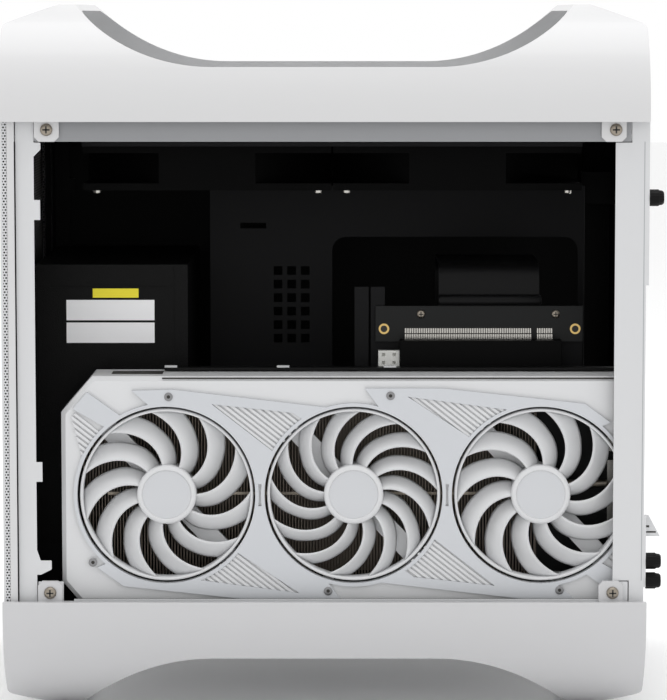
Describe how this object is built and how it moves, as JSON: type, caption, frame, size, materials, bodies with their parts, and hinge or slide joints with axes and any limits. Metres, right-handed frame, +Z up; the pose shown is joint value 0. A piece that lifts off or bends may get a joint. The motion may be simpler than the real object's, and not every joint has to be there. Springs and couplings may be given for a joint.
{
  "type": "micro-atx computer case",
  "caption": "White micro-ATX computer case with curved handle and foot shells, left panel off, showing a graphics card on a riser, top fans and power supply.",
  "frame": {"origin": "ground under the middle of the bounding box", "axes": "+X to the rear of the case, +Y to its right side (the open side is -Y), +Z up"},
  "size_m": [0.3646, 0.25, 0.396],
  "materials": {
    "white_plastic": "satin",
    "white_steel": "satin powder coat",
    "white_mesh": "perforated, powder coat",
    "dark_steel": "matt powder coat",
    "black_steel": "fine textured powder coat",
    "black_plastic": "matt",
    "black_board": "solder mask",
    "card_white": "satin",
    "card_backplate": "satin",
    "fin_metal": "fine fins",
    "plated_steel": "bright",
    "button_white": "satin",
    "label_white": "paper",
    "label_yellow": "paper"
  },
  "bodies": {
    "case": {"bottom_plate": "white_steel", "bottom_shell": "white_plastic", "bracket_clamp": "white_steel", "front_frame": "white_plastic", "front_mesh": "white_mesh", "front_plate": "white_steel", "gpu_backplate": "card_backplate", "gpu_bracket": "plated_steel", "gpu_fan_carrier_1": "card_white", "gpu_fan_carrier_2": "card_white", "gpu_fan_carrier_3": "card_white", "gpu_header": "card_white", "gpu_heatsink": "fin_metal", "gpu_pcb": "black_board", "gpu_ports": "plated_steel", "gpu_shroud": "card_white", "gpu_top_bar": "black_plastic", "io_board": "black_board", "io_ports": "plated_steel", "motherboard_tray": "dark_steel", "power_inlet": "black_plastic", "psu_case": "black_steel", "psu_grille": "black_steel", "psu_stand": "dark_steel", "psu_white_labels": "label_white", "psu_yellow_label": "label_yellow", "rear_plate": "white_steel", "right_panel": "white_steel", "riser_board": "black_board", "riser_pins": "plated_steel", "riser_plug": "black_plastic", "riser_ribbon": "black_plastic", "riser_slot": "black_plastic", "riser_stay": "dark_steel", "slot_covers": "white_steel", "thumb_screws": "black_steel", "top_fan_bracket": "dark_steel", "top_fan_frame_front": "black_plastic", "top_fan_frame_rear": "black_plastic", "top_mesh": "white_mesh", "top_plate": "white_steel", "top_shell": "white_plastic"},
    "gpu_rotor_1": {"gpu_fan_rotor_1": "card_white"},
    "gpu_rotor_2": {"gpu_fan_rotor_2": "card_white"},
    "gpu_rotor_3": {"gpu_fan_rotor_3": "card_white"},
    "top_rotor_front": {"top_fan_rotor_front": "black_plastic"},
    "top_rotor_rear": {"top_fan_rotor_rear": "black_plastic"},
    "psu_rotor": {"psu_fan_rotor": "black_plastic"},
    "power_button": {"power_button": "button_white"},
    "reset_button": {"reset_button": "button_white"}
  },
  "joints": [
    {"name": "gpu_fan_1_spin", "type": "hinge", "parent": "case", "child": "gpu_rotor_1", "pos_m": [-0.0921, -0.1053, 0.1248], "axis": [0, -1, 0], "continuous": true},
    {"name": "gpu_fan_2_spin", "type": "hinge", "parent": "case", "child": "gpu_rotor_2", "pos_m": [0.0118, -0.1053, 0.1248], "axis": [0, -1, 0], "continuous": true},
    {"name": "gpu_fan_3_spin", "type": "hinge", "parent": "case", "child": "gpu_rotor_3", "pos_m": [0.1157, -0.1053, 0.1248], "axis": [0, -1, 0], "continuous": true},
    {"name": "top_fan_front_spin", "type": "hinge", "parent": "case", "child": "top_rotor_front", "pos_m": [-0.0706, 0, 0.3022], "axis": [0, 0, 1], "continuous": true},
    {"name": "top_fan_rear_spin", "type": "hinge", "parent": "case", "child": "top_rotor_rear", "pos_m": [0.0704, 0, 0.3022], "axis": [0, 0, 1], "continuous": true},
    {"name": "psu_fan_spin", "type": "hinge", "parent": "case", "child": "psu_rotor", "pos_m": [-0.157, 0.0156, 0.169], "axis": [-1, 0, 0], "continuous": true},
    {"name": "power_press", "type": "slide", "parent": "case", "child": "power_button", "axis": [0, -1, 0], "range_m": [0, 0.0015], "stiffness_N_per_m": 600, "springref_m": -0.001},
    {"name": "reset_press", "type": "slide", "parent": "case", "child": "reset_button", "axis": [0, -1, 0], "range_m": [0, 0.0015], "stiffness_N_per_m": 600, "springref_m": -0.001}
  ]
}
